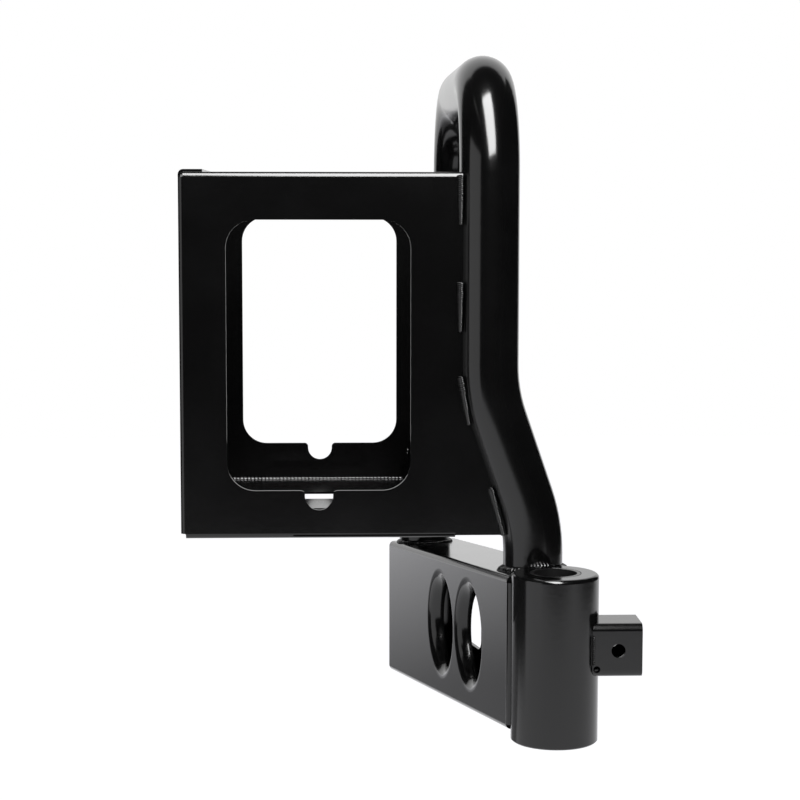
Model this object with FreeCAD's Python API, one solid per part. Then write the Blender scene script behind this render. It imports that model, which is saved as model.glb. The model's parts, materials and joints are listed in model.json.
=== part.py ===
import FreeCAD, Part
import math
import os
from FreeCAD import Placement, Rotation, Vector

# Swing-away can carrier arm: millimetres, +Z up, origin on the pivot axis at the bottom face of the hub.
# +Y runs along the depth of the can box, +X points from the hub towards the stop bracket.

# Pivot hub and its two pressed bushes
HUB_OD = 100.0
HUB_HEIGHT = 194.0
HUB_TOP_ROUND = 4.5
HUB_FOOT_CHAMFER = 1.5
PIVOT_BORE = 50.0
BUSH_WALL = 4.0
BUSH_LENGTH = 45.0
SEAT_CHAMFER = 1.0
BORE_RELIEF = 1.5

# Box section arm
ARM_ANGLE = 12.9
ARM_TOP_DROP = 5.0
ARM_FOOT_DROP = 5.5
ARM_START = 26.0
ARM_WIDTH = 100.0
ARM_FOOT_AT_AXIS = 10.4
ARM_WALL = 5.0
ARM_CORNER_ROUND = 7.0
ARM_TOP_BELOW_HUB_TOP = 4.0
ARM_END_ROUND_TOP = 7.5
ARM_END_ROUND_BOTTOM = 7.5
ARM_CAP_THICKNESS = 5.0

# Flared holes in the near side of the arm and a plain access opening in its far side
FLARE_WIDTH = 118.0
FLARE_HEIGHT = 142.0
FLARE_ROUND = 18.0
FLARE_FIRST_STATION = 176.8
FLARE_PITCH = 121.2
FLARE_COUNT = 2
FLARE_RISE = 3.5
ACCESS_STATION = 474.0
ACCESS_WIDTH = 100.0
ACCESS_HEIGHT = 100.0
ACCESS_CORNER = 15.0

# Bent hoop tube
TUBE_OD = 70.0
TUBE_WALL = 4.0
LEG_HUB_GAP = 0.4
FRONT_FOOT_ASIDE = -2.0
BACK_FOOT_ASIDE = 8.0
BACK_FOOT_FORWARD = 18.0
BACK_FOOT_FROM_ARM_END = 5.0
HOOP_FRONT_X = -70.6
HOOP_BACK_X = -76.6
HOOP_DEPTH = 440.0
HOOP_TOP_Z = 756.0
HOOP_TOP_RADIUS = 105.0
JOG_RADIUS = 200.0
FRONT_JOG_LOW_Z = 237.0
FRONT_JOG_HIGH_Z = 392.0
BACK_JOG_LOW_Z = 226.0
BACK_JOG_HIGH_Z = 382.0

# Folded sheet can box
SHEET = 3.0
BEND_OUTER = 6.0
BOX_LEFT_X = -431.1
BOX_BOTTOM_Z = 223.5
BOX_TOP_Z = 650.0
PANEL_FROM_LEG_AXIS = 15.0
FLANGE_WIDTH = 28.0
SIDE_FLANGE_LAP = 3.0
CORNER_RELIEF = 2.0
FLOOR_GAP = 0.3
SKIRT_LIFT = 3.0
SKIRT_STEP_X = -110.1
BACK_FLANGE_END_X = -163.1

# Window and strap notch in the front and back panels
WINDOW_CENTRE_X = -269.7
WINDOW_WIDTH = 214.0
WINDOW_BOTTOM_Z = 280.0
WINDOW_TOP_Z = 595.0
WINDOW_CORNER = 33.0
NOTCH_RADIUS = 16.5
NOTCH_DEPTH = 23.0
NOTCH_EDGE_ROUND = 5.0

# Floor slots
SLOT_LENGTH = 140.0
SLOT_WIDTH = 63.0
SLOT_CORNER = 16.0
SLOT_OFFSET_Y = 72.0
FLOOR_RIGHT_X = -109.1

# Stop bracket
BRACKET_SIDE = 61.0
BRACKET_WALL = 5.0
BRACKET_ROUND = 8.0
BRACKET_BOTTOM_Z = 79.0
BRACKET_END_X = 96.5
BRACKET_CAP = 4.0
BRACKET_HOLE = 16.0
BRACKET_HOLE_FROM_END = 27.4
DRAIN_HOLE = 8.0
DRAIN_FROM_HUB = 5.0
DRAIN_RISE = 9.0

# Weld beads
BOX_BEAD = 4.5
BOX_BEAD_LENGTH = 54.0
BOX_BEAD_HEIGHTS = (618.0, 494.0, 385.0, 254.0)
LEG_BEAD = 4.5
HUB_BEAD = 6.0
HUB_BEAD_BACK = 5.0
BRACKET_BEAD = 4.5
BRACKET_BEAD_LENGTH = 30.0

# Values that follow from the sizes above
HUB_R = HUB_OD / 2
TUBE_R = TUBE_OD / 2
TOP_SLOPE = math.tan(math.radians(ARM_TOP_DROP))
FOOT_SLOPE = math.tan(math.radians(ARM_FOOT_DROP))
ARM_DIR = Vector(-math.sin(math.radians(ARM_ANGLE)), math.cos(math.radians(ARM_ANGLE)), 0)
ARM_OUT = Vector(-math.cos(math.radians(ARM_ANGLE)), -math.sin(math.radians(ARM_ANGLE)), 0)
ARM_FRAME = Placement(Vector(0, 0, 0), Rotation(Vector(0, 0, 1), ARM_ANGLE))
ARM_TOP_AT_AXIS = HUB_HEIGHT - ARM_TOP_BELOW_HUB_TOP
FRONT_LEG_STATION = HUB_R + TUBE_R + LEG_HUB_GAP
FRONT_FOOT = ARM_DIR * FRONT_LEG_STATION + ARM_OUT * FRONT_FOOT_ASIDE
HOOP_FRONT_Y = FRONT_FOOT.y
HOOP_BACK_Y = HOOP_FRONT_Y + HOOP_DEPTH
BACK_FOOT_Y = HOOP_BACK_Y - BACK_FOOT_FORWARD
BACK_LEG_STATION = (BACK_FOOT_Y - BACK_FOOT_ASIDE * ARM_OUT.y) / ARM_DIR.y
BACK_FOOT = ARM_DIR * BACK_LEG_STATION + ARM_OUT * BACK_FOOT_ASIDE
ARM_LENGTH = BACK_LEG_STATION + TUBE_R + BACK_FOOT_FROM_ARM_END
FRONT_Y = HOOP_FRONT_Y - PANEL_FROM_LEG_AXIS
BACK_Y = HOOP_BACK_Y + PANEL_FROM_LEG_AXIS
BOX_MIDDLE_Y = (FRONT_Y + BACK_Y) / 2
FLOOR_Z = BOX_BOTTOM_Z + SHEET
BIG = 2000.0
OVERRUN = 1.0
TOUCH = 0.01
ROUTE_STEP = 0.5


def arm_top_z(station):
    """Height of the arm's top face at a distance from the pivot axis."""
    return ARM_TOP_AT_AXIS - TOP_SLOPE * station


def arm_foot_z(station):
    """Height of the arm's bottom face at a distance from the pivot axis."""
    return ARM_FOOT_AT_AXIS - FOOT_SLOPE * station


def arm_middle_z(station):
    return (arm_top_z(station) + arm_foot_z(station)) / 2


def box(x0, x1, y0, y1, z0, z1):
    return Part.makeBox(x1 - x0, y1 - y0, z1 - z0, Vector(x0, y0, z0))


def prism(points, direction):
    """Solid swept from a closed outline of straight edges."""
    outline = Part.makePolygon(points + [points[0]])
    return Part.Face(outline).extrude(direction)


def corner_cut(corner, before, after, radius):
    """Tangent points and mid point of an arc that rounds a corner of a route."""
    to_before = (before - corner).normalize()
    to_after = (after - corner).normalize()
    half_turn = (math.pi - to_before.getAngle(to_after)) / 2
    reach = radius * math.tan(half_turn)
    inward = (to_before + to_after).normalize()
    middle = corner + inward * (radius / math.cos(half_turn) - radius)
    return corner + to_before * reach, middle, corner + to_after * reach


def rounded_edges(points, radii, closed=False):
    """Lines and tangent arcs along a route, with a radius for each corner."""
    count = len(points)
    corners = range(count) if closed else range(1, count - 1)
    cuts = {}
    for index in corners:
        radius = radii[index]
        if radius > 0:
            cuts[index] = corner_cut(points[index], points[index - 1], points[(index + 1) % count], radius)
    edges = []
    for index in range(count if closed else count - 1):
        after = (index + 1) % count
        start = cuts[index][2] if index in cuts else points[index]
        end = cuts[after][0] if after in cuts else points[after]
        if (end - start).Length > TOUCH / 2:
            edges.append(Part.LineSegment(start, end).toShape())
        if after in cuts:
            edges.append(Part.Arc(*cuts[after]).toShape())
    return edges


def rounded_prism(points, radii, direction):
    """Solid swept from a closed outline with rounded corners."""
    outline = Part.Wire(rounded_edges(points, radii, closed=True))
    return Part.Face(outline).extrude(direction)


def rod_along(points, radii, radius):
    """Round rod along a route of straight runs and tangent arcs."""
    route = Part.Wire(rounded_edges(points, radii))
    ring = Part.Wire(Part.makeCircle(radius, points[0], points[1] - points[0]))
    return route.makePipeShell([ring], True, True)


def largest_solid(shape):
    return max(shape.Solids, key=lambda solid: solid.Volume)


# Route of the hoop, from the foot of the front leg over the top to the foot of the back leg
def hoop_route():
    below_front = arm_top_z(FRONT_LEG_STATION) - TUBE_R
    below_back = arm_top_z(BACK_LEG_STATION) - TUBE_R
    points = [
        FRONT_FOOT + Vector(0, 0, below_front),
        FRONT_FOOT + Vector(0, 0, FRONT_JOG_LOW_Z),
        Vector(HOOP_FRONT_X, HOOP_FRONT_Y, FRONT_JOG_HIGH_Z),
        Vector(HOOP_FRONT_X, HOOP_FRONT_Y, HOOP_TOP_Z),
        Vector(HOOP_BACK_X, HOOP_BACK_Y, HOOP_TOP_Z),
        Vector(HOOP_BACK_X, HOOP_BACK_Y, BACK_JOG_HIGH_Z),
        BACK_FOOT + Vector(0, 0, BACK_JOG_LOW_Z),
        BACK_FOOT + Vector(0, 0, below_back),
    ]
    radii = [0, JOG_RADIUS, JOG_RADIUS, HOOP_TOP_RADIUS, HOOP_TOP_RADIUS, JOG_RADIUS, JOG_RADIUS, 0]
    return points, radii


def below_arm_top():
    """Everything under the plane of the arm's top face."""
    start, end = -BIG, BIG
    outline = [
        Vector(0, start, arm_top_z(start)),
        Vector(0, end, arm_top_z(end)),
        Vector(0, end, -BIG),
        Vector(0, start, -BIG),
    ]
    slab = prism(outline, Vector(2 * BIG, 0, 0))
    slab.translate(Vector(-BIG, 0, 0))
    slab.Placement = ARM_FRAME.multiply(slab.Placement)
    return slab


def hoop_tube(outer_rod):
    points, radii = hoop_route()
    bore = rod_along(points, radii, TUBE_R - TUBE_WALL)
    return outer_rod.cut(bore).cut(below_arm_top())


# Turned hub: a thick round post, bored through and seated at each end for a bush
def pivot_hub():
    post = Part.makeCylinder(HUB_R, HUB_HEIGHT)
    rims = [e for e in post.Edges if isinstance(e.Curve, Part.Circle)]
    top = [e for e in rims if e.CenterOfMass.z > HUB_HEIGHT / 2]
    post = post.makeFillet(HUB_TOP_ROUND, top)
    foot = [e for e in post.Edges if isinstance(e.Curve, Part.Circle) and e.CenterOfMass.z < TOUCH]
    post = post.makeChamfer(HUB_FOOT_CHAMFER, foot)
    post = post.cut(Part.makeCylinder(PIVOT_BORE / 2 + BORE_RELIEF, HUB_HEIGHT))
    seat_r = PIVOT_BORE / 2 + BUSH_WALL
    mouth = Part.makeCone(seat_r, seat_r + SEAT_CHAMFER, SEAT_CHAMFER)
    mouth.translate(Vector(0, 0, HUB_HEIGHT - SEAT_CHAMFER))
    for base_z in (0, HUB_HEIGHT - BUSH_LENGTH):
        post = post.cut(Part.makeCylinder(seat_r, BUSH_LENGTH, Vector(0, 0, base_z)))
    return post.cut(mouth)


def pivot_bush(base_z):
    sleeve = Part.makeCylinder(PIVOT_BORE / 2 + BUSH_WALL, BUSH_LENGTH, Vector(0, 0, base_z))
    return sleeve.cut(Part.makeCylinder(PIVOT_BORE / 2, BUSH_LENGTH, Vector(0, 0, base_z)))


# Arm: hollow box section, coped round the hub, sloping down to a capped far end
def arm_outline(inset, start, end):
    top = Vector(0, start, arm_top_z(start) - inset)
    far_top = Vector(0, end, arm_top_z(end) - inset)
    far_foot = Vector(0, end, arm_foot_z(end) + inset)
    foot = Vector(0, start, arm_foot_z(start) + inset)
    return [top, far_top, far_foot, foot]


def arm_envelope():
    half = ARM_WIDTH / 2
    outline = [p + Vector(-half, 0, 0) for p in arm_outline(0, ARM_START, ARM_LENGTH)]
    block = rounded_prism(outline, [0, ARM_END_ROUND_TOP, ARM_END_ROUND_BOTTOM, 0], Vector(ARM_WIDTH, 0, 0))
    long_edges = []
    for edge in block.Edges:
        along_side = abs(abs(edge.CenterOfMass.x) - half) < TOUCH
        at_hub_end = edge.BoundBox.YMax < ARM_START + TOUCH
        if along_side and not at_hub_end:
            long_edges.append(edge)
    return block.makeFillet(ARM_CORNER_ROUND, long_edges)


def flare_profile():
    """Section of a flared hole: x across from its centre line, y into the arm."""
    rim = FLARE_HEIGHT / 2
    throat = rim - FLARE_ROUND
    centre = Vector(rim, FLARE_ROUND, 0)
    outer_mid = centre + Vector(-math.sin(math.pi / 4), -math.cos(math.pi / 4), 0) * FLARE_ROUND
    inner_round = FLARE_ROUND - ARM_WALL
    inner_mid = centre + Vector(-math.sin(math.pi / 4), -math.cos(math.pi / 4), 0) * inner_round
    outer_start = Vector(rim, 0, 0)
    outer_end = Vector(throat, FLARE_ROUND, 0)
    inner_start = Vector(throat + ARM_WALL, FLARE_ROUND, 0)
    inner_end = Vector(rim, ARM_WALL, 0)
    edges = [
        Part.Arc(outer_start, outer_mid, outer_end).toShape(),
        Part.LineSegment(outer_end, inner_start).toShape(),
        Part.Arc(inner_start, inner_mid, inner_end).toShape(),
        Part.LineSegment(inner_end, outer_start).toShape(),
    ]
    return Part.Face(Part.Wire(edges))


def narrowed(round_shape):
    """A round shape made oval: narrowed along the arm, its height kept."""
    squeeze = FreeCAD.Matrix()
    squeeze.scale(FLARE_WIDTH / FLARE_HEIGHT, 1, 1)
    return round_shape.transformGeometry(squeeze)


def flare_opening():
    """Oval hole in the side of the arm that takes a flared rim."""
    return narrowed(Part.makeCylinder(FLARE_HEIGHT / 2, ARM_WALL, Vector(0, 0, 0), Vector(0, 1, 0)))


def flare_ring():
    """Bell-mouthed rim of one flared hole, its outer face at y = 0."""
    return narrowed(flare_profile().revolve(Vector(0, 0, 0), Vector(0, 1, 0), 360))


def flare_place(index):
    """Placement of a flared hole on the near side of the arm, in the arm's own frame."""
    station = FLARE_FIRST_STATION + FLARE_PITCH * index
    turn = Rotation(Vector(0, 0, 1), -90)
    return Placement(Vector(-ARM_WIDTH / 2, station, arm_middle_z(station) + FLARE_RISE), turn)


def access_cutter():
    """Plain rounded opening through the far side of the arm."""
    inner = ARM_WIDTH / 2 - ARM_WALL
    middle = arm_middle_z(ACCESS_STATION)
    start, end = ACCESS_STATION - ACCESS_WIDTH / 2, ACCESS_STATION + ACCESS_WIDTH / 2
    low, high = middle - ACCESS_HEIGHT / 2, middle + ACCESS_HEIGHT / 2
    outline = [
        Vector(inner, start, low),
        Vector(inner, end, low),
        Vector(inner, end, high),
        Vector(inner, start, high),
    ]
    return rounded_prism(outline, [ACCESS_CORNER] * 4, Vector(ARM_WALL, 0, 0))


def arm_pieces(hub_post):
    """The hollow arm and the cap that closes its far end."""
    envelope = arm_envelope()
    cap_start = ARM_LENGTH - ARM_CAP_THICKNESS
    beyond = box(-BIG, BIG, cap_start, BIG, -BIG, BIG)
    cap = envelope.common(beyond)
    half = ARM_WIDTH / 2 - ARM_WALL
    bore_outline = [p + Vector(-half, 0, 0) for p in arm_outline(ARM_WALL, ARM_START - OVERRUN, cap_start)]
    cavity = prism(bore_outline, Vector(2 * half, 0, 0))
    inner_edges = [e for e in cavity.Edges if e.BoundBox.YLength > cap_start / 2]
    cavity = cavity.makeFillet(ARM_CORNER_ROUND - ARM_WALL, inner_edges)
    arm = envelope.cut(beyond).cut(cavity)
    opening = flare_opening()
    ring = flare_ring()
    for index in range(FLARE_COUNT):
        place = flare_place(index)
        hole = opening.copy()
        hole.Placement = place
        rim = ring.copy()
        rim.Placement = place
        arm = arm.cut(hole).fuse(rim)
    arm = arm.cut(access_cutter()).removeSplitter()
    arm.Placement = ARM_FRAME
    cap.Placement = ARM_FRAME
    return largest_solid(arm.cut(hub_post)), cap


# Can box: one folded sheet makes the front, left side and back, with flanges top and bottom
def flange_section():
    """Bend and flange on top of a wall: y runs inwards, z up, the wall's outer face at y = 0."""
    inner = BEND_OUTER - SHEET
    s = math.sin(math.pi / 4)
    outer_mid = Vector(0, BEND_OUTER * (1 - s), BEND_OUTER * s)
    inner_mid = Vector(0, BEND_OUTER - inner * s, inner * s)
    edges = [
        Part.Arc(Vector(0, 0, 0), outer_mid, Vector(0, BEND_OUTER, BEND_OUTER)).toShape(),
        Part.LineSegment(Vector(0, BEND_OUTER, BEND_OUTER), Vector(0, FLANGE_WIDTH, BEND_OUTER)).toShape(),
        Part.LineSegment(Vector(0, FLANGE_WIDTH, BEND_OUTER), Vector(0, FLANGE_WIDTH, inner)).toShape(),
        Part.LineSegment(Vector(0, FLANGE_WIDTH, inner), Vector(0, BEND_OUTER, inner)).toShape(),
        Part.Arc(Vector(0, BEND_OUTER, inner), inner_mid, Vector(0, SHEET, 0)).toShape(),
        Part.LineSegment(Vector(0, SHEET, 0), Vector(0, 0, 0)).toShape(),
    ]
    return Part.Face(Part.Wire(edges))


def flange(length, upward, turn, place):
    """Folded edge of a wall: runs along x for its length before it is turned and placed."""
    solid = flange_section().extrude(Vector(length, 0, 0))
    if not upward:
        solid = solid.mirror(Vector(0, 0, 0), Vector(0, 0, 1))
    solid.Placement = Placement(place, Rotation(Vector(0, 0, 1), turn))
    return solid


def panel(outer_y, inward, right_edge, step_x):
    """Flat front or back panel between its folds; its right edge follows the leg."""
    low = BOX_BOTTOM_Z + BEND_OUTER
    high = BOX_TOP_Z - BEND_OUTER
    left = BOX_LEFT_X + BEND_OUTER
    (low_x, jog_low), (high_x, jog_high) = right_edge
    foot = BOX_BOTTOM_Z + SKIRT_LIFT
    outline = [
        Vector(left, outer_y, low),
        Vector(step_x, outer_y, low),
        Vector(step_x, outer_y, foot),
        Vector(low_x, outer_y, foot),
        Vector(low_x, outer_y, jog_low),
        Vector(high_x, outer_y, jog_high),
        Vector(high_x, outer_y, high),
        Vector(left, outer_y, high),
    ]
    return prism(outline, Vector(0, inward * SHEET, 0))


def corner_bend(centre_y, sign):
    """Upright fold between the left side and the front or back panel."""
    centre = Vector(BOX_LEFT_X + BEND_OUTER, centre_y, BOX_BOTTOM_Z + BEND_OUTER)
    height = BOX_TOP_Z - BOX_BOTTOM_Z - 2 * BEND_OUTER
    ring = Part.makeCylinder(BEND_OUTER, height, centre)
    ring = ring.cut(Part.makeCylinder(BEND_OUTER - SHEET, height, centre))
    y0, y1 = sorted((centre_y, centre_y + sign * BEND_OUTER))
    return ring.common(box(centre.x - BEND_OUTER, centre.x, y0, y1, centre.z, centre.z + height))


def window_cutter():
    """Rounded window with a half-round strap notch in its lower edge, right through both panels."""
    half = WINDOW_WIDTH / 2
    x0, x1 = WINDOW_CENTRE_X - half, WINDOW_CENTRE_X + half
    y0, y1 = FRONT_Y - SHEET, BACK_Y + SHEET
    notch_foot = WINDOW_BOTTOM_Z - NOTCH_DEPTH
    n0, n1 = WINDOW_CENTRE_X - NOTCH_RADIUS, WINDOW_CENTRE_X + NOTCH_RADIUS
    outline = [
        Vector(x0, y0, WINDOW_TOP_Z),
        Vector(x0, y0, WINDOW_BOTTOM_Z),
        Vector(n0, y0, WINDOW_BOTTOM_Z),
        Vector(n0, y0, notch_foot),
        Vector(n1, y0, notch_foot),
        Vector(n1, y0, WINDOW_BOTTOM_Z),
        Vector(x1, y0, WINDOW_BOTTOM_Z),
        Vector(x1, y0, WINDOW_TOP_Z),
    ]
    notch_corner = NOTCH_RADIUS - TOUCH
    corner = WINDOW_CORNER
    edge = NOTCH_EDGE_ROUND
    radii = [corner, corner, edge, notch_corner, notch_corner, edge, corner, corner]
    return rounded_prism(outline, radii, Vector(0, y1 - y0, 0))


def can_box_wrap(outer_rod):
    points = hoop_route()[0]
    front_edge = ((points[1].x, points[1].z), (points[2].x, points[2].z))
    back_edge = ((points[6].x, points[6].z), (points[5].x, points[5].z))
    left = BOX_LEFT_X + BEND_OUTER
    low = BOX_BOTTOM_Z + BEND_OUTER
    high = BOX_TOP_Z - BEND_OUTER
    side_start = FRONT_Y + BEND_OUTER
    side_end = BACK_Y - BEND_OUTER
    side = box(BOX_LEFT_X, BOX_LEFT_X + SHEET, side_start, side_end, low, high + SIDE_FLANGE_LAP)
    top_run = side_end - side_start - 2 * CORNER_RELIEF
    foot_run = BACK_Y - FRONT_Y - 2 * (FLANGE_WIDTH + CORNER_RELIEF)
    front_top = HOOP_FRONT_X - left
    back_top = HOOP_BACK_X - left
    front_foot = SKIRT_STEP_X - left
    back_foot = BACK_FLANGE_END_X - left
    top_last_y = side_end - CORNER_RELIEF
    foot_last_y = BACK_Y - FLANGE_WIDTH - CORNER_RELIEF
    sheets = [
        panel(BACK_Y, -1, back_edge, BACK_FLANGE_END_X),
        side,
        corner_bend(side_start, -1),
        corner_bend(side_end, 1),
        flange(front_top, True, 0, Vector(left, FRONT_Y, high)),
        flange(front_foot, False, 0, Vector(left, FRONT_Y, low)),
        flange(back_top, True, 180, Vector(HOOP_BACK_X, BACK_Y, high)),
        flange(back_foot, False, 180, Vector(BACK_FLANGE_END_X, BACK_Y, low)),
        flange(top_run, True, -90, Vector(BOX_LEFT_X, top_last_y, high + SIDE_FLANGE_LAP)),
        flange(foot_run, False, -90, Vector(BOX_LEFT_X, foot_last_y, low)),
    ]
    wrap = panel(FRONT_Y, 1, front_edge, SKIRT_STEP_X).fuse(sheets)
    wrap = wrap.cut(window_cutter()).cut(outer_rod)
    return largest_solid(wrap.removeSplitter())


def can_box_floor(outer_rod):
    """Floor sheet on the bottom flanges, with two drain slots across it."""
    x0 = BOX_LEFT_X + BEND_OUTER + FLOOR_GAP
    y0 = FRONT_Y + BEND_OUTER + FLOOR_GAP
    y1 = BACK_Y - BEND_OUTER - FLOOR_GAP
    floor = box(x0, FLOOR_RIGHT_X, y0, y1, FLOOR_Z, FLOOR_Z + SHEET)
    half = SLOT_LENGTH / 2
    for sign in (-1, 1):
        middle = BOX_MIDDLE_Y + sign * SLOT_OFFSET_Y
        slot_y = (middle - SLOT_WIDTH / 2, middle + SLOT_WIDTH / 2)
        corners = [
            Vector(WINDOW_CENTRE_X - half, slot_y[0], FLOOR_Z),
            Vector(WINDOW_CENTRE_X + half, slot_y[0], FLOOR_Z),
            Vector(WINDOW_CENTRE_X + half, slot_y[1], FLOOR_Z),
            Vector(WINDOW_CENTRE_X - half, slot_y[1], FLOOR_Z),
        ]
        floor = floor.cut(rounded_prism(corners, [SLOT_CORNER] * 4, Vector(0, 0, SHEET)))
    return largest_solid(floor.cut(outer_rod))


# Stop bracket: a short square tube on the right of the hub, with a cap and a bolt hole
def square_outline(x, half, middle_z):
    return [
        Vector(x, -half, middle_z - half),
        Vector(x, half, middle_z - half),
        Vector(x, half, middle_z + half),
        Vector(x, -half, middle_z + half),
    ]


def bracket_hub_reach():
    """Distance from the pivot axis to where the bracket's front face meets the hub."""
    return math.sqrt(HUB_R ** 2 - (BRACKET_SIDE / 2) ** 2)


def stop_bracket(hub_post):
    middle = BRACKET_BOTTOM_Z + BRACKET_SIDE / 2
    reach = BRACKET_END_X - BRACKET_CAP
    half = BRACKET_SIDE / 2
    outer = rounded_prism(square_outline(0, half, middle), [BRACKET_ROUND] * 4, Vector(reach, 0, 0))
    inner_half = half - BRACKET_WALL
    inner_round = BRACKET_ROUND - BRACKET_WALL
    inner = rounded_prism(square_outline(0, inner_half, middle), [inner_round] * 4, Vector(reach, 0, 0))
    hole_x = BRACKET_END_X - BRACKET_HOLE_FROM_END
    hole = Part.makeCylinder(BRACKET_HOLE / 2, BRACKET_SIDE, Vector(hole_x, -half, middle), Vector(0, 1, 0))
    drain_x = bracket_hub_reach() + DRAIN_FROM_HUB
    drain_foot = Vector(drain_x, -half, BRACKET_BOTTOM_Z + DRAIN_RISE)
    drain = Part.makeCylinder(DRAIN_HOLE / 2, BRACKET_WALL, drain_foot, Vector(0, 1, 0))
    tube = largest_solid(outer.cut(inner).cut(hub_post))
    return tube.cut(hole).cut(drain)


def stop_bracket_cap():
    middle = BRACKET_BOTTOM_Z + BRACKET_SIDE / 2
    start = BRACKET_END_X - BRACKET_CAP
    outline = square_outline(start, BRACKET_SIDE / 2, middle)
    return rounded_prism(outline, [BRACKET_ROUND] * 4, Vector(BRACKET_CAP, 0, 0))


# Weld beads: round beads along the joints, trimmed to the faces that they join
def bead(start, end, radius, neighbours):
    axis = end - start
    rod = Part.makeCylinder(radius, axis.Length, start, axis)
    for solid in neighbours:
        rod = rod.cut(solid)
    return largest_solid(rod)


def leg_axis(front, height):
    """Point on the axis of the front or back leg at a height."""
    points, radii = hoop_route()
    samples = Part.Wire(rounded_edges(points, radii)).discretize(Distance=ROUTE_STEP)
    half = len(samples) // 2
    leg = samples[:half] if front else samples[half:]
    return min(leg, key=lambda point: abs(point.z - height))


def panel_seam(front, height):
    """Point where the outer face of a panel meets the left side of its leg."""
    outer_y = FRONT_Y if front else BACK_Y
    axis = leg_axis(front, height)
    rise = leg_axis(front, height + TUBE_R) - leg_axis(front, height - TUBE_R)
    across = math.sqrt(TUBE_R ** 2 - (outer_y - axis.y) ** 2)
    return Vector(axis.x - across * rise.Length / rise.z, outer_y, height)


def panel_welds(front, outer_rod, wrap):
    beads = []
    for height in BOX_BEAD_HEIGHTS:
        start = panel_seam(front, height - BOX_BEAD_LENGTH / 2)
        end = panel_seam(front, height + BOX_BEAD_LENGTH / 2)
        beads.append(bead(start, end, BOX_BEAD, [outer_rod, wrap]))
    return Part.makeCompound(beads)


def leg_weld(foot, station, neighbours):
    """Fillet of weld round the foot of a leg."""
    seat = foot + Vector(0, 0, arm_top_z(station))
    normal = (Vector(0, 0, 1) + ARM_DIR * TOP_SLOPE).normalize()
    inside_tube = TUBE_R - TUBE_WALL / 2
    height = LEG_BEAD + TUBE_WALL / 2
    ring = Part.makeCone(TUBE_R + LEG_BEAD, inside_tube, height, seat, normal)
    for solid in neighbours:
        ring = ring.cut(solid)
    return largest_solid(ring)


def hub_welds(neighbours):
    station = ARM_START - HUB_BEAD_BACK
    aside = math.sqrt(HUB_R ** 2 - station ** 2)
    beads = []
    for side in (-1, 1):
        line = ARM_OUT * (side * aside) + ARM_DIR * station
        top = line + Vector(0, 0, arm_top_z(station) - ARM_CORNER_ROUND)
        foot = line + Vector(0, 0, arm_foot_z(station) + ARM_CORNER_ROUND)
        beads.append(bead(foot, top, HUB_BEAD, neighbours))
    return Part.makeCompound(beads)


def bracket_weld(hub_post, bracket_solid):
    half = BRACKET_SIDE / 2
    middle = Vector(bracket_hub_reach(), -half, BRACKET_BOTTOM_Z + half)
    rise = Vector(0, 0, BRACKET_BEAD_LENGTH / 2)
    return bead(middle - rise, middle + rise, BRACKET_BEAD, [hub_post, bracket_solid])


# All nodes
def build_nodes():
    hub_post = Part.makeCylinder(HUB_R, HUB_HEIGHT)
    outer_rod = rod_along(*hoop_route(), TUBE_R)
    arm_solid = arm_envelope()
    arm_solid.Placement = ARM_FRAME
    arm, cap = arm_pieces(hub_post)
    wrap = can_box_wrap(outer_rod)
    bracket_middle = BRACKET_BOTTOM_Z + BRACKET_SIDE / 2
    bracket_outline = square_outline(0, BRACKET_SIDE / 2, bracket_middle)
    bracket_solid = rounded_prism(bracket_outline, [BRACKET_ROUND] * 4, Vector(BRACKET_END_X, 0, 0))
    return {
        "pivot_hub": pivot_hub(),
        "upper_pivot_bush": pivot_bush(HUB_HEIGHT - BUSH_LENGTH),
        "lower_pivot_bush": pivot_bush(0),
        "arm_box_section": arm,
        "arm_end_cap": cap,
        "hoop_tube": hoop_tube(outer_rod),
        "can_box_wrap": wrap,
        "can_box_floor": can_box_floor(outer_rod),
        "stop_bracket": stop_bracket(hub_post),
        "stop_bracket_cap": stop_bracket_cap(),
        "front_panel_welds": panel_welds(True, outer_rod, wrap),
        "back_panel_welds": panel_welds(False, outer_rod, wrap),
        "front_leg_weld": leg_weld(FRONT_FOOT, FRONT_LEG_STATION, [outer_rod, below_arm_top(), hub_post]),
        "back_leg_weld": leg_weld(BACK_FOOT, BACK_LEG_STATION, [outer_rod, below_arm_top()]),
        "hub_arm_welds": hub_welds([hub_post, arm_solid, bracket_solid]),
        "bracket_weld": bracket_weld(hub_post, bracket_solid),
    }


os.makedirs("parts", exist_ok=True)
for name, shape in build_nodes().items():
    shape.exportStep("parts/" + name + ".step")
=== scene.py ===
import bpy
import json
import math
from mathutils import Euler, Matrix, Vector


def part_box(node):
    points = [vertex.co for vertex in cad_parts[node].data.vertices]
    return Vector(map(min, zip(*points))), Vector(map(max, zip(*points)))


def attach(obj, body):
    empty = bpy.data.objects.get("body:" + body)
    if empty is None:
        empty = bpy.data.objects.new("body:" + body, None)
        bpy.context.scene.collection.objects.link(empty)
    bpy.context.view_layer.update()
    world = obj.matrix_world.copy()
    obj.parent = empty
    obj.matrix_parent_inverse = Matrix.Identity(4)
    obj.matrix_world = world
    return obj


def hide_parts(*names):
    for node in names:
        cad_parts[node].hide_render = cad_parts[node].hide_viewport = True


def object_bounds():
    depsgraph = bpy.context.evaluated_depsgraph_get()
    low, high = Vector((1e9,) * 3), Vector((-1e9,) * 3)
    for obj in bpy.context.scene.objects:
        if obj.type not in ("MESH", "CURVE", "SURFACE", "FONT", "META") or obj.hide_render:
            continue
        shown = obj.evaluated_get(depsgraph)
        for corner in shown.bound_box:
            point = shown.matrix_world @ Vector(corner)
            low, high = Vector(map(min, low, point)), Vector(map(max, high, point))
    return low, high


# Swing-away can carrier arm in gloss black powder coat: metres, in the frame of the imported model.

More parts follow.
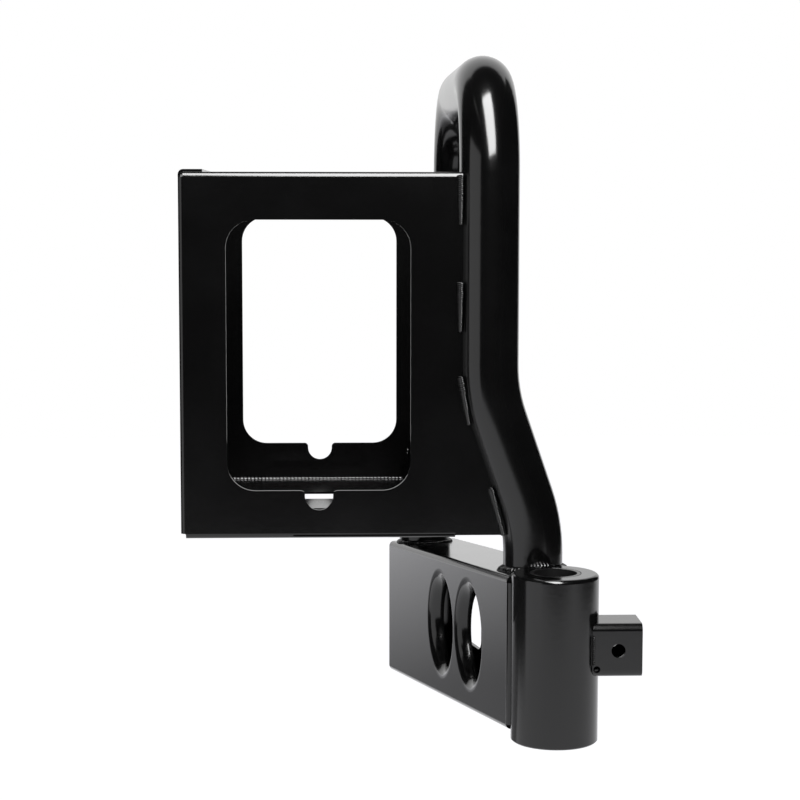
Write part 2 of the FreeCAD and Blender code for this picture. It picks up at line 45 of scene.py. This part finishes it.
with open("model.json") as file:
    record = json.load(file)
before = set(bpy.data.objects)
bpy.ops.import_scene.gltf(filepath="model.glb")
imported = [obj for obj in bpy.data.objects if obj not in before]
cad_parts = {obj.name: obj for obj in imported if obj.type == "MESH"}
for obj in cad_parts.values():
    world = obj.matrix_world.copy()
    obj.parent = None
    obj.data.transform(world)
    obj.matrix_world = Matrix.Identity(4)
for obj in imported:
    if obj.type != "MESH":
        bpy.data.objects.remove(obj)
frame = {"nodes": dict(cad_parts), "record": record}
nodes = frame["nodes"]
cad_low, cad_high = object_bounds()

# Camera of the photograph, angles in degrees
CAMERA_PLACE = (-0.2625, -2.2271, 0.6124)
CAMERA_PITCH_DOWN = 5.626
CAMERA_TURN_RIGHT = 2.172
CAMERA_ROLL_LEFT = 0.06
FOCAL_PIXELS = 1983.0
FRAME_PIXELS = 800.0
SENSOR_WIDTH = 36.0

# Floor, room and overhead lamp
FLOOR_DROP = 0.55
FLOOR_SIZE = 16.0
FLOOR_SHADE = 0.86
FLOOR_LIFT = 0.36
ROOM_LIGHT = 0.75
WHITE = (1.0, 1.0, 1.0, 1.0)
LAMP_PLACE = (-0.25, -0.35, 2.4)
LAMP_AIM = (-0.2, 0.2, 0.5)
LAMP_WIDTH = 1.6
LAMP_DEPTH = 1.0
LAMP_WATTS = 9.0

# Flags, glowing sheet of painted reflection and soft box, which only reflections see
FLAG_SHADE = 0.01
FLAG_DISTANCE = 3.2
FLAG_LEFT = -2.8
FLAG_RIGHT = 3.0
FLAG_FOOT = -0.45
FLAG_TOP = 4.0
FLAG_BACK = 4.2
SIDE_FLAG_NEAR = (-3.0, -0.07)
SIDE_FLAG_FAR = (-2.2, 2.6)
WINDOW_TOP = 1.8
CEILING_BACK = 2.6
# Sheet on the floor behind the arm that glows as a painted reflection, dark near the object and brighter than
# white far off
GLOW_SHEET_LEFT = -5.0
GLOW_SHEET_RIGHT = -0.8
GLOW_SHEET_NEAR = 1.2
GLOW_SHEET_FAR = 5.0
GLOW_SHEET_RISE = 0.02
PAINTED_REFLECTION_DARK = 0.3
PAINTED_REFLECTION_PALE = 1.25
PAINTED_REFLECTION_FADE_FROM = 0.3
PAINTED_REFLECTION_FADE_TO = 0.9
SOFT_BOX_GLOW = 20.0
# Each slanted card: point it faces, distance from there, rise and turn in degrees, width and height
SOFT_BOX = ((-0.1, 0.08, 0.7), 2.2, 49.0, 12.0, 1.15, 2.9)
BRACKET_FLAG = ((0.15, -0.03, 0.16), 0.35, 56.0, 0.0, 0.18, 0.6)
FLARE_FLAG = ((-0.195, 0.265, 0.1725), 0.2, 0.0, 0.0, 0.21, 0.105)

# Faint blue of every grey
COOL_TINT = 1.03

# Powder coat
# Each coat: darkest and haziest grey, lowest and highest roughness, strength of its orange peel
PANEL_COAT = (0.0038, 0.0060, 0.11, 0.19, 0.12)
BEAD_COAT = (0.0046, 0.0074, 0.10, 0.18, 0.25)
# Each grain: scale, detail and roughness of its noise
HAZE = (9.0, 5.0, 0.6)
SPECKS = (260.0, 3.0, 0.6)
PEEL = (150.0, 1.0, 0.4)
FINE_PEEL = (620.0, 2.0, 0.45)
HAZE_FROM = 0.42
HAZE_TO = 0.72
HAZE_SHARE = 0.6
FINE_PEEL_SHARE = 0.6
PEEL_HEIGHT = 0.0002
COAT_IOR = 1.5

# Bush liner
BUSH_DARK = 0.006
BUSH_PALE = 0.012
BUSH_RING_SCALE = 420.0
BUSH_RING_WANDER = 0.4
BUSH_RING_DETAIL = 1.0
BUSH_RING_FROM = 0.2
BUSH_RING_TO = 0.9
BUSH_RING_STRENGTH = 0.15
BUSH_RING_HEIGHT = 0.0002
BUSH_ROUGHNESS = 0.22
BUSH_ROUGHNESS_RISE = 0.14

# Arm, which the leg welds lie on, angles in degrees
ARM_ANGLE = 12.9
ARM_TOP_DROP = 5.0
LEG_RADIUS = 0.035

# Weld beads
RIPPLE_PITCH = 0.0022
RIPPLE_OVERLAP = 0.95
RIPPLE_SEGMENTS = 8
RIPPLE_RINGS = 6
RIPPLE_SMALLEST = 0.82
RIPPLE_LARGEST = 1.15
# Sockets of a Random Value node that hold plain numbers
RANDOM_LEAST = 2
RANDOM_MOST = 3
RANDOM_RESULT = 1
# Each bead: length and depth of a ripple, step from ripple to ripple, and taper towards its lower end
PANEL_BEAD = (0.0058, 0.0028, RIPPLE_PITCH, 0.45)
FRONT_LEG_BEAD = (0.0062, 0.0030, 0.0042, 0.0)
BACK_LEG_BEAD = (0.0030, 0.0016, 0.0026, 0.0)
BRACKET_BEAD = (0.0014, 0.0014, RIPPLE_PITCH, 0.0)
FLOOR_BEAD = (0.0021, 0.0011, 0.0050, 0.0)
CORNER_BEAD = (0.0038, 0.0038, 0.0042, 0.0)
# Points that the ripples lean towards, far off where only the direction counts
HUB_LEAN = (0.0, 0.0, 1.0)
FLOOR_LEAN = (0.0, 5.5, 8.9)
FRONT_PANEL_LEAN = (10.0, -10.0, 0.0)
BACK_PANEL_LEAN = (10.0, 10.0, 0.0)
# Lines of the beads
PANEL_BEAD_ASIDE = 0.002
HUB_CLIMB = 0.008
RING_STEPS = 96
BEAD_END_SHARE = 0.12
CORNER_DIGITS = 6
# Seams, from the edges of the box floor
FLOOR_SEAM_FROM_LEFT = 0.0345
FLOOR_SEAM_FROM_RIGHT = 0.0469
FLOOR_SEAM_BEHIND = 0.0011
FLOOR_SEAM_ABOVE = 0.0008
CORNER_SEAM_FROM_RIGHT = 0.0417
CORNER_SEAM_BEHIND = 0.0021
CORNER_SEAM_ABOVE = 0.0018
CORNER_SEAM_RUN = (0.0042, 0.0, 0.037)


class Signal:
    """A node socket that takes part in Python arithmetic by adding Math nodes."""

    def __init__(self, tree, socket):
        self.tree = tree
        self.socket = socket

    def math(self, operation, first, second):
        node = self.tree.nodes.new("ShaderNodeMath")
        node.operation = operation
        for slot, value in zip(node.inputs, (first, second)):
            plug(self.tree, slot, value)
        return Signal(self.tree, node.outputs[0])

    def __add__(self, other):
        return self.math("ADD", self, other)

    def __radd__(self, other):
        return self.math("ADD", other, self)

    def __sub__(self, other):
        return self.math("SUBTRACT", self, other)

    def __rsub__(self, other):
        return self.math("SUBTRACT", other, self)

    def __mul__(self, other):
        return self.math("MULTIPLY", self, other)

    def __rmul__(self, other):
        return self.math("MULTIPLY", other, self)


def plug(tree, slot, value):
    """Links a signal to a socket, or sets a plain value on it."""
    if isinstance(value, Signal):
        tree.links.new(value.socket, slot)
    else:
        slot.default_value = value


class Recipe:
    """A node tree under construction."""

    def __init__(self, tree):
        self.tree = tree
        self.tree.nodes.clear()

    def node(self, kind, output=0, settings=None, stops=None, numbered=None, **values):
        """Adds a node, sets it up and returns one of its outputs as a signal."""
        made = self.tree.nodes.new(kind)
        for key, value in (settings or {}).items():
            setattr(made, key, value)
        if stops:
            for element, (place, shade) in zip(made.color_ramp.elements, stops):
                element.position = place
                element.color = shade
        for index, value in (numbered or {}).items():
            plug(self.tree, made.inputs[index], value)
        for key, value in values.items():
            plug(self.tree, made.inputs[key.replace("_", " ")], value)
        return Signal(self.tree, made.outputs[output]) if made.outputs else made


class Finish(Recipe):
    """A node material under construction."""

    def __init__(self, name):
        self.material = bpy.data.materials.new(name)
        self.material.use_nodes = True
        super().__init__(self.material.node_tree)

    def place(self):
        return self.node("ShaderNodeTexCoord", "Object")

    def grain(self, scale, detail, roughness):
        return self.node(
            "ShaderNodeTexNoise", "Fac", Vector=self.place(), Scale=scale, Detail=detail, Roughness=roughness,
        )

    def close(self, shader):
        self.node("ShaderNodeOutputMaterial", Surface=shader)
        return self.material


def grey(level):
    return (level, level, level * COOL_TINT, 1.0)


def seen_directly(recipe):
    """One for what the camera, a reflection or a clear surface sees, and nothing for spread light."""
    path = "ShaderNodeLightPath"
    seen = recipe.node(path, "Is Camera Ray") + recipe.node(path, "Is Glossy Ray")
    return seen + recipe.node(path, "Is Transmission Ray")


# Finishes
def powder_coat(name, setting):
    """Gloss black powder coat: faint haze, a wandering gloss and a fine orange peel."""
    dark, hazy, smoothest, roughest, peel = setting
    coat = Finish(name)
    haze = coat.grain(*HAZE)
    specks = coat.grain(*SPECKS)
    stops = [(HAZE_FROM, grey(dark)), (HAZE_TO, grey(hazy))]
    colour = coat.node("ShaderNodeValToRGB", stops=stops, Fac=haze)
    mottle = haze * HAZE_SHARE + specks * (1.0 - HAZE_SHARE)
    roughness = smoothest + (roughest - smoothest) * mottle
    height = coat.grain(*FINE_PEEL) * FINE_PEEL_SHARE + coat.grain(*PEEL)
    bump = coat.node("ShaderNodeBump", Strength=peel, Distance=PEEL_HEIGHT, Height=height)
    shader = coat.node(
        "ShaderNodeBsdfPrincipled", Base_Color=colour, Roughness=roughness, Normal=bump, IOR=COAT_IOR,
    )
    return coat.close(shader)


def bush_liner():
    """Dark bearing liner with faint turned rings."""
    liner = Finish("bush_liner")
    rings = liner.node(
        "ShaderNodeTexWave", "Fac", settings={"wave_type": "RINGS", "rings_direction": "Z"},
        Vector=liner.place(), Scale=BUSH_RING_SCALE, Distortion=BUSH_RING_WANDER, Detail=BUSH_RING_DETAIL,
    )
    stops = [(BUSH_RING_FROM, grey(BUSH_DARK)), (BUSH_RING_TO, grey(BUSH_PALE))]
    colour = liner.node("ShaderNodeValToRGB", stops=stops, Fac=rings)
    bump = liner.node(
        "ShaderNodeBump", Strength=BUSH_RING_STRENGTH, Distance=BUSH_RING_HEIGHT, Height=rings,
    )
    roughness = BUSH_ROUGHNESS + BUSH_ROUGHNESS_RISE * rings
    shader = liner.node("ShaderNodeBsdfPrincipled", Base_Color=colour, Roughness=roughness, Normal=bump)
    return liner.close(shader)


def black_flag():
    cloth = Finish("black_flag")
    return cloth.close(cloth.node("ShaderNodeBsdfDiffuse", Color=grey(FLAG_SHADE)))


def painted_reflection_glow():
    """Sheet behind the arm that glows as a painted reflection, darker towards the object."""
    glow_sheet = Finish("painted_reflection_glow")
    depth = glow_sheet.node("ShaderNodeSeparateXYZ", "Y", Vector=glow_sheet.place())
    fade = glow_sheet.node("ShaderNodeMapRange", Value=depth, From_Min=GLOW_SHEET_NEAR, From_Max=GLOW_SHEET_FAR)
    # Painted reflection: the glowing shade darkens towards the object
    stops = [(PAINTED_REFLECTION_FADE_FROM, grey(PAINTED_REFLECTION_DARK)), (PAINTED_REFLECTION_FADE_TO, grey(PAINTED_REFLECTION_PALE))]
    shade = glow_sheet.node("ShaderNodeValToRGB", stops=stops, Fac=fade)
    shader = glow_sheet.node(
        "ShaderNodeBsdfPrincipled", Base_Color=grey(0.0), Roughness=1.0, Specular_IOR_Level=0.0,
        Emission_Color=shade, Emission_Strength=1.0,
    )
    return glow_sheet.close(shader)


def lit_cloth():
    cloth = Finish("soft_box_cloth")
    return cloth.close(cloth.node("ShaderNodeEmission", Color=WHITE, Strength=SOFT_BOX_GLOW))


def pale_floor():
    """Matt pale floor that keeps its shadow and is lifted to white where it is seen."""
    floor = Finish("pale_floor")
    shader = floor.node(
        "ShaderNodeBsdfPrincipled", Base_Color=grey(FLOOR_SHADE), Roughness=1.0, Specular_IOR_Level=0.0,
        Emission_Color=seen_directly(floor), Emission_Strength=FLOOR_LIFT,
    )
    return floor.close(shader)


COAT = powder_coat("gloss_black_coat", PANEL_COAT)
WELD_COAT = powder_coat("gloss_black_weld_coat", BEAD_COAT)
BUSH = bush_liner()


def dress_nodes():
    """Gives every node of the model its finish."""
    finishes = {"black_coat": COAT, "weld_coat": WELD_COAT, "bush": BUSH}
    for entry in frame["record"]["subparts"]:
        mesh = nodes[entry["node"]].data
        mesh.materials.clear()
        mesh.materials.append(finishes[entry["material_slot"]])


def placed(name, data):
    """A new object of the scene."""
    thing = bpy.data.objects.new(name, data)
    bpy.context.scene.collection.objects.link(thing)
    return thing


def corners_of(node):
    """Lowest and highest corner of a node's box."""
    return [Vector(corner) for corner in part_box(node)]


# Weld beads: overlapping ripples along the middle line of each bead
def ripple_tree():
    """Sets a flattened ball, one ripple of weld, at every step along its spines."""
    tree = bpy.data.node_groups.new("rippled_bead", "GeometryNodeTree")
    sockets = (
        ("Spines", "NodeSocketGeometry"),
        ("Lean Towards", "NodeSocketVector"),
        ("Ripple Pitch", "NodeSocketFloat"),
        ("Ripple Length", "NodeSocketFloat"),
        ("Ripple Depth", "NodeSocketFloat"),
        ("Ripple Thickness", "NodeSocketFloat"),
        ("Taper", "NodeSocketFloat"),
        ("Seed", "NodeSocketInt"),
        ("Finish", "NodeSocketMaterial"),
    )
    for name, kind in sockets:
        tree.interface.new_socket(name, in_out="INPUT", socket_type=kind)
    tree.interface.new_socket("Bead", in_out="OUTPUT", socket_type="NodeSocketGeometry")
    recipe = Recipe(tree)
    given = tree.nodes.new("NodeGroupInput")
    slots = [Signal(tree, slot) for slot in given.outputs[:len(sockets)]]
    spines, goal, pitch, length, depth, thickness, taper, seed, finish = slots
    curve = recipe.node("GeometryNodeMeshToCurve", Mesh=spines)
    steps = recipe.node("GeometryNodeResampleCurve", settings={"mode": "LENGTH"}, Curve=curve, Length=pitch)
    ball = recipe.node(
        "GeometryNodeMeshUVSphere", Segments=RIPPLE_SEGMENTS, Rings=RIPPLE_RINGS, Radius=1.0,
    )
    reach = recipe.node("GeometryNodeSplineParameter", "Factor")
    uneven = recipe.node(
        "FunctionNodeRandomValue", RANDOM_RESULT,
        numbered={RANDOM_LEAST: RIPPLE_SMALLEST, RANDOM_MOST: RIPPLE_LARGEST}, Seed=seed,
    )
    swell = uneven * (1.0 - taper * (1.0 - reach))
    size = recipe.node("ShaderNodeCombineXYZ", X=length * swell, Y=depth * swell, Z=thickness)
    tangent = recipe.node("GeometryNodeInputTangent")
    lean = recipe.node(
        "ShaderNodeVectorMath", settings={"operation": "SUBTRACT"},
        numbered={0: goal, 1: recipe.node("GeometryNodeInputPosition")},
    )
    along = recipe.node("FunctionNodeAlignRotationToVector", settings={"axis": "Z"}, Vector=tangent)
    facing = recipe.node(
        "FunctionNodeAlignRotationToVector", settings={"axis": "X", "pivot_axis": "Z"},
        Rotation=along, Vector=lean,
    )
    ripples = recipe.node(
        "GeometryNodeInstanceOnPoints", Points=steps, Instance=ball, Rotation=facing, Scale=size,
    )
    joined = recipe.node("GeometryNodeRealizeInstances", Geometry=ripples)
    smooth = recipe.node("GeometryNodeSetShadeSmooth", Geometry=joined)
    coated = recipe.node("GeometryNodeSetMaterial", Geometry=smooth, Material=finish)
    recipe.node("NodeGroupOutput", Bead=coated)
    return tree


RIPPLES = ripple_tree()


def weld_piece(name, spines, bead, seed, goal=HUB_LEAN, stands_for=None):
    """A rippled weld along lines of points, its ripples leaning towards a goal."""
    length, depth, pitch, taper = bead
    points = []
    edges = []
    for spine in spines:
        start = len(points)
        points.extend(spine)
        edges.extend((index, index + 1) for index in range(start, len(points) - 1))
    line = bpy.data.meshes.new(name + "_spines")
    line.from_pydata(points, edges, [])
    thing = placed(name + "_spines", line)
    maker = thing.modifiers.new("ripples", "NODES")
    maker.node_group = RIPPLES
    given = {
        "Lean Towards": goal, "Ripple Pitch": pitch, "Ripple Length": length, "Ripple Depth": depth,
        "Ripple Thickness": pitch * RIPPLE_OVERLAP, "Taper": taper, "Seed": seed, "Finish": WELD_COAT,
    }
    for socket in RIPPLES.interface.items_tree:
        if socket.in_out == "INPUT" and socket.name in given:
            maker[socket.identifier] = given[socket.name]
    view = bpy.context.evaluated_depsgraph_get()
    mesh = bpy.data.meshes.new_from_object(thing.evaluated_get(view))
    bpy.data.objects.remove(thing)
    piece = placed(name, mesh)
    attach(piece, "root")
    if stands_for:
        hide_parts(stands_for)


def islands(mesh):
    """Groups of joined corners of a mesh, as lists of places, the lowest group first."""
    owner = {}

    def root(key):
        while owner[key] != key:
            owner[key] = owner[owner[key]]
            key = owner[key]
        return key

    keys = [tuple(round(c, CORNER_DIGITS) for c in corner.co) for corner in mesh.vertices]
    for key in keys:
        owner.setdefault(key, key)
    for face in mesh.polygons:
        first = root(keys[face.vertices[0]])
        for corner in face.vertices[1:]:
            owner[root(keys[corner])] = first
    groups = {}
    for key in owner:
        groups.setdefault(root(key), []).append(Vector(key))
    return sorted(groups.values(), key=lambda group: max(place.z for place in group))


def bead_lines(node):
    """Middle line of each straight bead of a weld node, from the middle of one end to the other."""
    lines = []
    for group in islands(nodes[node].data):
        low = min(group, key=lambda place: place.z)
        high = max(group, key=lambda place: place.z)
        along = (high - low).normalized()
        reach = (high - low).length
        near = BEAD_END_SHARE * reach
        ends = []
        for wanted in (0.0, reach):
            cap = [place for place in group if abs((place - low).dot(along) - wanted) < near]
            ends.append(sum(cap, Vector()) / len(cap))
        lines.append(ends)
    return lines


def leg_ring(centre, aside_leg):
    """Line round the foot of a leg: on the sloping top of the arm, and up on the hub where that is near."""
    hub_corner = corners_of("pivot_hub")[1]
    hub_radius = hub_corner.x
    hub_top = hub_corner.z
    turn = math.radians(ARM_ANGLE)
    drop = math.tan(math.radians(ARM_TOP_DROP))
    along = Vector((-math.sin(turn), math.cos(turn), -drop))
    aside = Vector((math.cos(turn), math.sin(turn), 0.0))
    radius = LEG_RADIUS + aside_leg
    ring = []
    for step in range(RING_STEPS + 1):
        angle = math.tau * step / RING_STEPS
        place = centre + along * (radius * math.cos(angle)) + aside * (radius * math.sin(angle))
        inside = (hub_radius + HUB_CLIMB - math.hypot(place.x, place.y)) / (2 * HUB_CLIMB)
        climb = min(max(inside, 0.0), 1.0)
        place.z += climb * max(hub_top + aside_leg - place.z, 0.0)
        ring.append(place)
    return ring


def leg_weld(name, node, bead, seed):
    """Sloping fillet weld round the foot of a leg, its middle line one ripple's depth away."""
    low, high = corners_of(node)
    centre = (low + high) / 2
    goal = centre + Vector((0.0, 0.0, LEG_RADIUS))
    depth = bead[1]
    weld_piece(name, [leg_ring(centre, depth)], bead, seed, goal, node)


def panel_weld(name, node, seed, goal):
    """Tapering stitches in the corner between a panel of the box and the round of a leg."""
    aside = Vector((-PANEL_BEAD_ASIDE, 0.0, 0.0))
    lines = [[place + aside for place in line] for line in bead_lines(node)]
    weld_piece(name, lines, PANEL_BEAD, seed, goal, node)


def floor_seam():
    """Line along the back edge of the box floor."""
    low, high = corners_of("can_box_floor")
    depth = high.y + FLOOR_SEAM_BEHIND
    height = high.z + FLOOR_SEAM_ABOVE
    left = Vector((low.x + FLOOR_SEAM_FROM_LEFT, depth, height))
    right = Vector((high.x - FLOOR_SEAM_FROM_RIGHT, depth, height))
    return [left, right]


def corner_seam():
    """Short line up the back panel from the right end of the floor seam."""
    high = corners_of("can_box_floor")[1]
    foot = high + Vector((-CORNER_SEAM_FROM_RIGHT, CORNER_SEAM_BEHIND, CORNER_SEAM_ABOVE))
    return [foot, foot + Vector(CORNER_SEAM_RUN)]


def build_welds():
    panel_weld("front_panel_beads", "front_panel_welds", seed=3, goal=FRONT_PANEL_LEAN)
    panel_weld("back_panel_beads", "back_panel_welds", seed=5, goal=BACK_PANEL_LEAN)
    leg_weld("front_leg_bead", "front_leg_weld", FRONT_LEG_BEAD, seed=7)
    leg_weld("back_leg_bead", "back_leg_weld", BACK_LEG_BEAD, seed=9)
    bracket_lines = bead_lines("bracket_weld")
    weld_piece("bracket_bead", bracket_lines, BRACKET_BEAD, seed=15, stands_for="bracket_weld")
    weld_piece("floor_seam_bead", [floor_seam()], FLOOR_BEAD, seed=11, goal=FLOOR_LEAN)
    weld_piece("back_corner_bead", [corner_seam()], CORNER_BEAD, seed=13)


# Studio, camera and light
def sheet(name, corners, material):
    mesh = bpy.data.meshes.new(name)
    mesh.from_pydata(corners, [], [range(len(corners))])
    mesh.materials.append(material)
    thing = placed(name, mesh)
    return thing


def level_corners(left, right, near, far, height):
    """Corners of a level sheet."""
    return [(left, near, height), (right, near, height), (right, far, height), (left, far, height)]


def reflected_card(name, corners, material):
    """Card that only reflections see, as a flag or a soft box of a studio."""
    card = sheet(name, corners, material)
    card.visible_camera = False
    card.visible_diffuse = False
    card.visible_shadow = False
    card.visible_transmission = False


def upright_flag(name, start, end, foot, cloth):
    corners = [(*start, foot), (*end, foot), (*end, FLAG_TOP), (*start, FLAG_TOP)]
    reflected_card(name, corners, cloth)


def slanted_card(name, setting, material):
    """Card in front of a point, or in front of and above it, facing it and turned in its own plane."""
    aim, distance, rise_angle, tilt_angle, width, height = setting
    rise = math.radians(rise_angle)
    tilt = math.radians(tilt_angle)
    middle = Vector(aim) + Vector((0.0, -math.cos(rise), math.sin(rise))) * distance
    level_side = Vector((1.0, 0.0, 0.0))
    steep_side = Vector((0.0, math.sin(rise), math.cos(rise)))
    across = (level_side * math.cos(tilt) + steep_side * math.sin(tilt)) * (width / 2)
    up = (steep_side * math.cos(tilt) - level_side * math.sin(tilt)) * (height / 2)
    corners = [middle - across - up, middle + across - up, middle + across + up, middle - across + up]
    reflected_card(name, corners, material)


def build_flags(floor_level):
    """Black cloths round and above the object, and two small ones that keep the soft box off details."""
    flag = black_flag()
    near_left = (FLAG_LEFT, -FLAG_DISTANCE)
    near_right = (FLAG_RIGHT, -FLAG_DISTANCE)
    upright_flag("front_flag", near_left, near_right, FLAG_FOOT, flag)
    upright_flag("right_flag", near_right, (FLAG_RIGHT, FLAG_BACK), FLAG_FOOT, flag)
    upright_flag("left_flag", SIDE_FLAG_NEAR, SIDE_FLAG_FAR, floor_level, flag)
    upright_flag("left_upper_flag", near_left, SIDE_FLAG_NEAR, WINDOW_TOP, flag)
    ceiling = level_corners(FLAG_LEFT, FLAG_RIGHT, -FLAG_DISTANCE, CEILING_BACK, FLAG_TOP)
    reflected_card("ceiling_flag", ceiling, flag)
    slanted_card("bracket_flag", BRACKET_FLAG, flag)
    slanted_card("flare_flag", FLARE_FLAG, flag)


def build_stage():
    half = FLOOR_SIZE / 2
    level = cad_low.z - FLOOR_DROP
    sheet("floor", level_corners(-half, half, -half, half, level), pale_floor())
    build_flags(level)
    # Glowing sheet of painted reflection on the floor behind the arm
    glow_sheet = level_corners(GLOW_SHEET_LEFT, GLOW_SHEET_RIGHT, GLOW_SHEET_NEAR, GLOW_SHEET_FAR, level + GLOW_SHEET_RISE)
    reflected_card("painted_reflection_sheet", glow_sheet, painted_reflection_glow())
    slanted_card("front_soft_box", SOFT_BOX, lit_cloth())


def build_world():
    """White room for the camera and reflections, and an even soft light for everything else."""
    world = bpy.data.worlds.new("white_room")
    world.use_nodes = True
    room = Recipe(world.node_tree)
    strength = ROOM_LIGHT + (1.0 - ROOM_LIGHT) * seen_directly(room)
    back = room.node("ShaderNodeBackground", Color=WHITE, Strength=strength)
    room.node("ShaderNodeOutputWorld", Surface=back)
    bpy.context.scene.world = world


def build_lamp():
    """Wide soft lamp overhead, which reflections do not show."""
    lamp = bpy.data.lights.new("overhead_lamp", "AREA")
    lamp.shape = "RECTANGLE"
    lamp.size = LAMP_WIDTH
    lamp.size_y = LAMP_DEPTH
    lamp.energy = LAMP_WATTS
    thing = placed("overhead_lamp", lamp)
    thing.location = LAMP_PLACE
    thing.rotation_euler = (Vector(LAMP_AIM) - Vector(LAMP_PLACE)).to_track_quat("-Z", "Y").to_euler()
    thing.visible_glossy = False


def build_camera():
    camera = bpy.data.cameras.new("photo_camera")
    camera.sensor_width = SENSOR_WIDTH
    camera.lens = SENSOR_WIDTH * FOCAL_PIXELS / FRAME_PIXELS
    thing = placed("photo_camera", camera)
    thing.location = CAMERA_PLACE
    turns = (90.0 - CAMERA_PITCH_DOWN, -CAMERA_ROLL_LEFT, -CAMERA_TURN_RIGHT)
    thing.rotation_euler = Euler([math.radians(turn) for turn in turns])
    bpy.context.scene.camera = thing


dress_nodes()
build_welds()
build_stage()
build_world()
build_lamp()
build_camera()

bpy.context.scene.view_settings.view_transform = "Standard"
bpy.context.view_layer.update()
